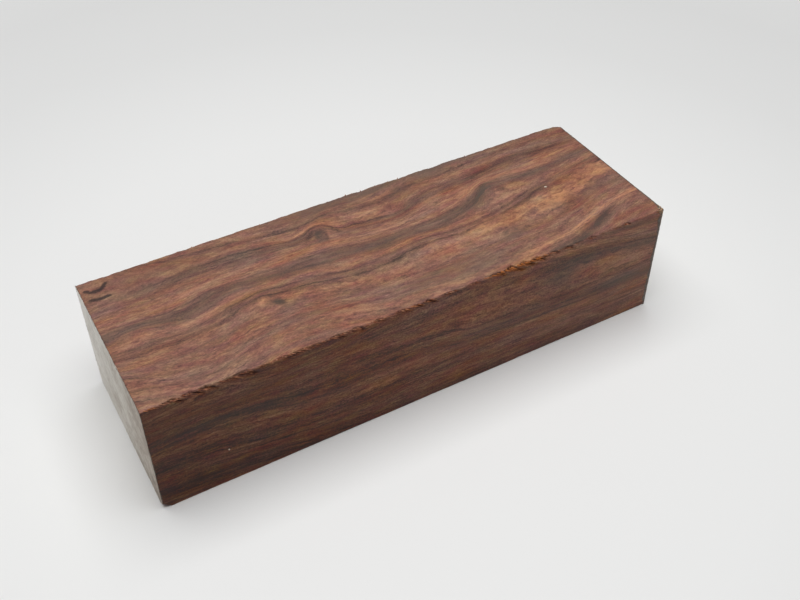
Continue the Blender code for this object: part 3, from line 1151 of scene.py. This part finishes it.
def stations(span: float, inner_step: float, edge_step: float = 0.1, growth: float = 1.28) -> np.ndarray:
    """Space rows of vertices along a side, close together near its two ends.

    Args:
        span: the side's length, in mm.
        inner_step: the most that two rows lie apart, in mm.
        edge_step: how far the first row lies from the end, in mm.
        growth: how much each step near the end is longer than the last.

    Returns:
        The rows' places from 0 to span.
    """
    steps = [edge_step]
    while steps[-1] * growth < inner_step:
        steps.append(steps[-1] * growth)
    edge = np.cumsum(steps)
    inner = np.linspace(edge[-1], span - edge[-1], max(2, round((span - 2 * edge[-1]) / inner_step) + 1))
    return np.concatenate(([0.0], edge[:-1], inner, span - edge[-2::-1], [span]))


@dataclass
class Billet:
    """The sawn wood, with its torn arrises, its figure and its pen mark.

    Attributes:
        end_coat: thickness of the wax over each end, in mm.
        along_step: distance between rows of vertices along the block, in mm.
        across_step: the same across it.
        arris_radius: rounding of an arris that isn't torn, in mm.
        fine_reach: how far from the front top arris the rows are closer, in mm.
        fine_cuts: how many times closer, less one.
        saw_wave: height of the faint waves that the saw left, in mm.
    """

    end_coat: float = 0.12
    along_step: float = 0.62
    across_step: float = 0.5
    arris_radius: float = 0.12
    fine_reach: float = 1.9
    fine_cuts: int = 3
    saw_wave: float = 0.02

    def build(self) -> bpy.types.Object:
        """Return the finished block of wood."""
        bm, rows = self.lattice()
        made = object_of(bm, "figured_heartwood", Heartwood().material())
        mesh = made.data
        flat = np.column_stack([
            np.interp(shares, np.linspace(0, 1, len(places)), places)
            for shares, places in zip(cube_places(mesh).T, rows)
        ])
        self.lay_out(mesh, flat)
        points = self.rounded(flat)
        push = sum(arris.wear(points) for arris in ARRISES)
        knock_corners(points)
        self.add_saw_waves(points, flat)
        growth = GrainField(flat)
        store(mesh, "grain", growth.coordinates())
        store(mesh, "figure", growth.tones())
        store(mesh, "threads", growth.threads())
        store(mesh, "marks", self.marks(flat, push))
        points[:, 0] = self.end_coat + points[:, 0] * (1 - 2 * self.end_coat / LENGTH)
        settle(mesh, points)
        return made

    def lattice(self) -> tuple[bmesh.types.BMesh, list[np.ndarray]]:
        """Return a unit cube cut to a lattice, and the places of its rows along each axis."""
        rows = [
            stations(LENGTH, self.along_step, 0.3),
            stations(DEPTH, self.across_step),
            stations(HEIGHT, self.across_step),
        ]
        bm = bmesh.new()
        bmesh.ops.create_cube(bm, size=1.0)
        for axis, places in enumerate(rows):
            along = [e for e in bm.edges if abs(e.verts[0].co[axis] - e.verts[1].co[axis]) > 0.5]
            bmesh.ops.subdivide_edges(bm, edges=along, cuts=len(places) - 2, use_grid_fill=True)
        # The wax hides the ends, so that only a rim of their faces is kept apart
        ends = [f for f in bm.faces if abs(f.normal.x) > 0.9]
        rims = {f for f in ends if any(abs(v.co.y) > 0.4999 or abs(v.co.z) > 0.4999 for v in f.verts)}
        bmesh.ops.dissolve_faces(bm, faces=[f for f in ends if f not in rims])
        back, down = (
            np.interp(self.fine_reach, places, np.linspace(0, 1, len(places))) for places in rows[1:]
        )
        fine = [
            e for e in bm.edges
            if abs(e.verts[0].co.x - e.verts[1].co.x) > 1e-6
            and all(v.co.y + 0.5 < back and 0.5 - v.co.z < down for v in e.verts)
        ]
        bmesh.ops.subdivide_edges(bm, edges=fine, cuts=self.fine_cuts)
        return bm, rows

    def rounded(self, flat: np.ndarray) -> np.ndarray:
        """Round the arrises a little.

        Args:
            flat: places on a sharp box, in mm.

        Returns:
            The places on the rounded box.
        """
        core = np.clip(flat, self.arris_radius, np.array([LENGTH, DEPTH, HEIGHT]) - self.arris_radius)
        out = flat - core
        far = np.linalg.norm(out, axis=1, keepdims=True)
        return core + out / np.maximum(far, 1e-9) * self.arris_radius

    def add_saw_waves(self, points: np.ndarray, flat: np.ndarray) -> None:
        """Leave the faint unevenness of a sawn and sanded surface on the top and front.

        Args:
            points: an (n, 3) array in mm, which is changed.
            flat: the places on the sharp box.
        """
        lift = self.saw_wave * Ripple(53, (9.0, 14.0, 14.0)).read(*flat.T)
        off_arris = smoothstep(0.5, 1.5, np.minimum(flat[:, 2], HEIGHT - flat[:, 2]))
        points[:, 1] += lift * off_arris * (flat[:, 1] < 0.01)
        points[:, 2] -= np.abs(lift) * (flat[:, 2] > HEIGHT - 0.01)

    @staticmethod
    def marks(flat: np.ndarray, push: np.ndarray) -> np.ndarray:
        """Say where the block is inked or torn.

        Args:
            flat: the places on the sharp box, in mm.
            push: how far each point was pushed in where grain is torn out, in mm.

        Returns:
            Each point's (distance to the pen strokes, depth of tear, place across the torn fibres), in mm.
        """
        along, back, up = flat.T
        to_ink = np.full(len(flat), CLEAR_OF_INK)
        for stroke in PEN_STROKES:
            xs = np.linspace(min(stroke), max(stroke), 60)
            for x, y in zip(xs, follow(stroke, xs)):
                to_ink = np.minimum(to_ink, np.hypot(along - x, back - y))
        to_ink = np.where(up > HEIGHT - 0.5, to_ink, CLEAR_OF_INK)
        # The tear's colour, with its painted shade, is kept off the top and shows below the arris
        torn = push * smoothstep(0.0, 0.3, np.minimum(HEIGHT - up, up + 0.15))
        across_fibre = (HEIGHT - up) * cos(TEAR_SLANT) - along * sin(TEAR_SLANT)
        return np.column_stack((to_ink, torn, across_fibre))

    @staticmethod
    def lay_out(mesh: bpy.types.Mesh, flat: np.ndarray, gap: float = 1.2, end_scale: float = 0.42) -> None:
        """Unfold the block to a map: four long strips, with the two small ends beside them.

        Args:
            mesh: the mesh.
            flat: the vertices' places on the sharp box, in mm.
            gap: the space between strips, in mm of the block.
            end_scale: size of the ends on the map, beside that of the strips.
        """
        corners = np.empty(len(mesh.loops), int)
        mesh.loops.foreach_get("vertex_index", corners)
        sides = np.empty(len(mesh.polygons), int)
        mesh.polygons.foreach_get("loop_total", sides)
        facing = np.empty(len(mesh.polygons) * 3)
        mesh.polygons.foreach_get("normal", facing)
        facing = np.repeat(facing.reshape(-1, 3), sides, axis=0)
        at = flat[corners]
        sheet = 2 * (DEPTH + HEIGHT) + 5 * gap
        uv = np.zeros((len(at), 2))
        floor = gap
        for axis, other, width in ((2, 1, DEPTH), (1, 2, HEIGHT)):
            for way in (-1, 1):
                here = facing[:, axis] * way > 0.9
                uv[here] = at[here][:, (0, other)] + (gap, floor)
                floor += width + gap
        for number, way in enumerate((-1, 1)):
            here = facing[:, 0] * way > 0.9
            uv[here] = at[here][:, (1, 2)] * end_scale + (LENGTH + 2 * gap, gap + number * (DEPTH + gap))
        layer = mesh.uv_layers.new(name="OFBake")
        layer.data.foreach_set("uv", (uv / sheet).ravel())


@dataclass
class WaxCap:
    """The wax over one end of the block, with the lap that runs a little way round its edges.

    Attributes:
        right: whether it is at the right end.
        lap: its typical reach over the top, base and back, in mm.
        front_lap: the same over the front, in mm.
        worn: places where it is rubbed thin, as (back, up, radius) in mm.
        wear: how much of the coat is gone at the middle of those.
        thickness: over the end grain, in mm.
        proud: height of the lap above the wood, in mm.
        brush_marks: how far the end dips between the brush's strokes, in mm.
        knocked_below: how far it stays below the cut of a knocked corner, in mm.
        seed: the random seed of its rim.
        cuts: how often the end is cut each way, to a lattice.
    """

    right: bool
    lap: float
    front_lap: float
    worn: tuple[tuple[float, float, float], ...] = ()
    wear: float = 0.13
    thickness: float = 0.12
    proud: float = 0.02
    brush_marks: float = 0.05
    knocked_below: float = 0.3
    seed: int = 61
    cuts: int = 90

    def build(self) -> bpy.types.Object:
        """Return the finished cap."""
        name = "wax_right_end" if self.right else "wax_left_end"
        made = object_of(self.lattice(), name, EndWax().material())
        cube = cube_places(made.data)
        inward = 1.0 - cube[:, 0] if self.right else cube[:, 0]
        back, up = (cube[:, 1:] * (np.array([DEPTH, HEIGHT]) + 2 * self.proud) - self.proud).T
        ragged = Ripple(self.seed + self.right, (9.0, 9.0)).read(back, up)
        ragged += 0.5 * Ripple(self.seed + 6 + self.right, (1.6, 1.6)).read(back, up)
        # More of it ran over the front, and most round the front top corner
        lap = np.where(back < 0.1, self.front_lap, self.lap)
        lap += self.front_lap * np.exp(-(back / 2.0) ** 2 - ((HEIGHT - up) / 2.0) ** 2)
        along = inward * lap * np.clip(1.0 + 0.4 * ragged, 0.15, 2.0)
        dips = np.abs(Ripple(self.seed + 12, (1.4, 1.1)).read(back, up))
        along += self.brush_marks * (1 - inward) * dips
        points = np.column_stack((LENGTH - along if self.right else along, back, up))
        # The lap thins towards its rim, and its corner is soft
        points[:, 1:] -= (cube[:, 1:] - 0.5) * (2 * self.proud * 0.7) * inward[:, None]
        # The knocked corners came off after the wax was brushed on, so it lies below their cuts
        knock_corners(points, self.knocked_below)
        points[:, 2] = np.maximum(points[:, 2], 0.0)
        rubbed = sum(np.exp(-((points[:, 1] - y) ** 2 + (points[:, 2] - z) ** 2) / radius ** 2)
                     for y, z, radius in self.worn)
        store(made.data, "coat", 1.0 - inward - self.wear * rubbed * (1 + 0.6 * ragged))
        settle(made.data, points)
        skin = made.modifiers.new("wax_thickness", "SOLIDIFY")
        skin.thickness = self.thickness * 0.9 * MM
        skin.offset = -1.0
        return made

    def lattice(self) -> bmesh.types.BMesh:
        """Return a unit cube that is open at its inner end, cut to a lattice."""
        bm = bmesh.new()
        bmesh.ops.create_cube(bm, size=1.0)
        outward = 1.0 if self.right else -1.0
        inner = [f for f in bm.faces if f.normal.x * outward < -0.9]
        bmesh.ops.delete(bm, geom=inner, context="FACES_ONLY")
        crosswise = [e for e in bm.edges if abs(e.verts[0].co.x - e.verts[1].co.x) < 0.1]
        bmesh.ops.subdivide_edges(bm, edges=crosswise, cuts=self.cuts, use_grid_fill=True)
        lengthwise = [e for e in bm.edges if abs(e.verts[0].co.x - e.verts[1].co.x) > 0.5]
        bmesh.ops.subdivide_edges(bm, edges=lengthwise, cuts=4, use_grid_fill=True)
        return bm


@dataclass
class TornFibres:
    """Slivers that hang over the front top arris, and splinters that stand up from the back one.

    Attributes:
        places: how many places along the front top arris can hold a sliver.
        seed: the random seed.
        length: shortest and longest sliver, in mm.
        width: narrowest and widest, in mm.
        root_back: least and most that a sliver's root lies back from the front face, in mm.
        root_down: the same below the top.
        overhang: least and most that its tip stands out from the front face, in mm.
    """

    places: int = 120
    seed: int = 71
    length: tuple[float, float] = (0.7, 2.8)
    width: tuple[float, float] = (0.18, 0.5)
    root_back: tuple[float, float] = (0.1, 0.3)
    root_down: tuple[float, float] = (0.04, 0.12)
    overhang: tuple[float, float] = (0.01, 0.07)

    def build(self) -> bpy.types.Object:
        """Return all of the slivers as one piece."""
        rng = np.random.default_rng(self.seed)
        bm = bmesh.new()
        shortest, longest = self.length
        for along in np.linspace(0.8, LENGTH - 3.2, self.places):
            length = rng.triangular(shortest, shortest * 1.2, longest)
            slant = TEAR_SLANT * rng.uniform(0.3, 1.0)
            width = rng.uniform(*self.width) * (1 + 0.8 * read(AMBER_RUNS, along))
            root = Vector((along + rng.uniform(-0.4, 0.4), rng.uniform(*self.root_back),
                           HEIGHT - rng.uniform(*self.root_down)))
            out = -root.y - rng.uniform(*self.overhang)
            tip = root + Vector((length * cos(slant), out, -length * sin(slant)))
            if rng.uniform() < read(SLIVER_CROWDING, along):
                self.sliver(bm, root, tip, width)
        for along, height, width in NIBS:
            root = Vector((along - width / 2, DEPTH - 0.2, HEIGHT - 0.2))
            self.sliver(bm, root, Vector((along, DEPTH - 0.12, HEIGHT + height)), width)
        to_metres(bm)
        return object_of(bm, "torn_fibres", TornFibre().material())

    @staticmethod
    def sliver(bm: bmesh.types.BMesh, root: Vector, tip: Vector, width: float) -> None:
        """Add one sliver.

        Args:
            bm: the mesh, in mm.
            root: where it is still fast to the wood.
            tip: its pointed end.
            width: its width at the root, in mm.
        """
        run = tip - root
        lie = run.to_track_quat("Z", "Y").to_matrix().to_4x4() @ Matrix.Diagonal((0.45, 1.0, 1.0, 1.0))
        bmesh.ops.create_cone(bm, cap_ends=True, segments=6, radius1=width / 2, radius2=width * 0.1,
                              depth=run.length, matrix=Matrix.Translation((root + tip) / 2) @ lie)


@dataclass
class Crumbs:
    """Crumbs that cling to the wood.

    Attributes:
        name: the piece's name.
        finish: what they are made of.
        places: (along, back, up, radius) of each crumb, in mm.
    """

    name: str
    finish: EndWax
    places: tuple[tuple[float, float, float, float], ...]

    def build(self) -> bpy.types.Object:
        """Return the crumbs as one piece."""
        bm = bmesh.new()
        for number, (along, back, up, radius) in enumerate(self.places):
            turn = Euler((0.5 + number, 0.3, 0.9 * number)).to_matrix().to_4x4()
            shape = Matrix.Translation((along, back, up)) @ turn @ Matrix.Diagonal((1.2, 0.8, 0.9, 1.0))
            bmesh.ops.create_icosphere(bm, subdivisions=2, radius=radius, matrix=shape)
        to_metres(bm)
        made = object_of(bm, self.name, self.finish.material())
        store(made.data, "coat", np.ones(len(made.data.vertices)))
        return made


# Two flakes of the end wax that fell on the block
WAX_CRUMBS = Crumbs(
    "wax_crumbs", EndWax("#DCCDBD", "#D0BFAE", "#BFAB99", "#B09C8A", name="flaked_wax"),
    ((115.4, 22.2, HEIGHT, 0.36), (16.8, 0, 10.5, 0.24)))

# Saw dust held by wax at the front right corner of the top
CORNER_CRUMBS = Crumbs(
    "corner_crumbs", EndWax("#B79A7E", "#B3957A", "#AF8F72", "#8C6C50", name="waxed_saw_dust"),
    ((134.7, 0.15, 31.68, 0.34), (135.15, 0.45, 31.74, 0.32), (134.2, 0.1, 31.68, 0.26),
     (135.2, 1.2, 31.74, 0.26), (134.6, 0.8, 31.7, 0.24), (135.25, 1.9, 31.72, 0.2), (133.8, 0.3, 31.7, 0.18),
     (134.9, -0.02, 31.25, 0.26), (135.1, -0.02, 30.75, 0.22), (134.5, -0.02, 30.95, 0.18),
     (134.2, -0.02, 31.35, 0.18), (134.9, 0, 30.2, 0.14)))


@dataclass
class Studio:
    """Plain pale cove, soft light and the camera, in metres and degrees.

    Attributes:
        floor_reach: radius of the flat floor.
        bend: radius of the curve from the floor up to the wall.
        wall_height: height of the cove's wall.
        lamp_place: middle of the square softbox that points at the block.
        lamp_size: its side.
        lamp_power: its power in watts.
        room_light: colour of the room's even light.
        room_strength: strength of that light.
        lens: focal length of the camera in mm, on a frame 36 mm wide.
        azimuth: how far it is turned to the side.
        elevation: how far it looks down.
        roll: how far it is tipped about its own axis.
        place: where it stands.
    """

    floor_reach: float = 0.75
    bend: float = 0.35
    wall_height: float = 0.55
    lamp_place: tuple[float, float, float] = (-0.02, 0.0, 0.64)
    lamp_size: float = 0.64
    lamp_power: float = 4.6
    room_light: str = "#F2F4F6"
    room_strength: float = 0.17
    lens: float = 46.02
    azimuth: float = -29.476
    elevation: float = 42.298
    roll: float = -0.183
    place: tuple[float, float, float] = (-0.08915, -0.16649, 0.18614)

    def build(self) -> None:
        """Make the cove, the light, the world and the camera."""
        curve = [
            (self.floor_reach + self.bend * sin(turn), self.bend * (1 - cos(turn)))
            for turn in np.linspace(0, pi / 2, 9)
        ]
        top = (self.floor_reach + self.bend, self.bend + self.wall_height)
        self.turned("studio_floor", [(0.0, 0.0), (self.floor_reach, 0.0)])
        wall = self.turned("studio_wall", [*curve, top])
        # The wall is there for the camera only, so that the room stays dim beside the block
        wall.visible_diffuse = False
        wall.visible_glossy = False
        self.lamp()
        self.world()
        self.camera()
        bpy.context.scene.view_settings.view_transform = "Standard"

    @staticmethod
    def turned(name: str, outline: list[tuple[float, float]]) -> bpy.types.Object:
        """Turn an outline round the block, as a part of the stage.

        Args:
            name: the object's name.
            outline: (radius, height) of each point, in metres.

        Returns:
            The staged object.
        """
        bm = bmesh.new()
        dots = [bm.verts.new((radius, 0.0, height)) for radius, height in outline]
        spokes = [bm.edges.new(pair) for pair in zip(dots, dots[1:])]
        bmesh.ops.spin(bm, geom=dots + spokes, cent=(0, 0, 0), axis=(0, 0, 1), angle=2 * pi, steps=72,
                       use_merge=True)
        bmesh.ops.remove_doubles(bm, verts=bm.verts[:], dist=1e-6)
        bmesh.ops.recalc_face_normals(bm, faces=bm.faces[:])
        made = object_of(bm, name, PaleBoard().material())
        return made

    def lamp(self) -> None:
        """Hang the softbox."""
        data = bpy.data.lights.new("overhead_softbox", "AREA")
        data.shape = "SQUARE"
        data.size = self.lamp_size
        data.energy = self.lamp_power
        lamp = bpy.data.objects.new("overhead_softbox", data)
        aim = (Vector((0.0, 0.0, 0.015)) - Vector(self.lamp_place)).to_track_quat("-Z", "Y")
        lamp.matrix_world = Matrix.Translation(self.lamp_place) @ aim.to_matrix().to_4x4()
        bpy.context.scene.collection.objects.link(lamp)

    def world(self) -> None:
        """Give the room its even light."""
        world = bpy.data.worlds.new("pale_room")
        world.use_nodes = True
        backdrop = world.node_tree.nodes["Background"]
        backdrop.inputs["Color"].default_value = linear(self.room_light)
        backdrop.inputs["Strength"].default_value = self.room_strength
        bpy.context.scene.world = world

    def camera(self) -> None:
        """Place the camera where the photographer stood."""
        data = bpy.data.cameras.new("photographers_view")
        data.lens = self.lens
        data.sensor_width = 36.0
        data.clip_start = 0.01
        camera = bpy.data.objects.new("photographers_view", data)
        turn = Euler((radians(90 - self.elevation), 0.0, radians(self.azimuth))).to_matrix().to_4x4()
        roll = Matrix.Rotation(radians(self.roll), 4, "Z")
        camera.matrix_world = Matrix.Translation(self.place) @ turn @ roll
        bpy.context.scene.collection.objects.link(camera)
        bpy.context.scene.camera = camera


def main() -> None:
    """Build every piece, and report each one."""
    logging.basicConfig(level=logging.INFO, format="%(name)s: %(message)s")
    Studio().build()
    billet = Billet().build()
    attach(billet, BODY)
    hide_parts(NODE)
    LOG.info("%s has %d vertices", billet.name, len(billet.data.vertices))
    left, right = WaxCap(False, 0.12, 0.16, LEFT_WORN), WaxCap(True, 0.2, 0.8, RIGHT_WORN)
    for part in (TornFibres(), WAX_CRUMBS, CORNER_CRUMBS, left, right):
        piece = part.build()
        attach(piece, BODY)
        LOG.info("%s has %d vertices", piece.name, len(piece.data.vertices))


if __name__ == "__main__":
    main()
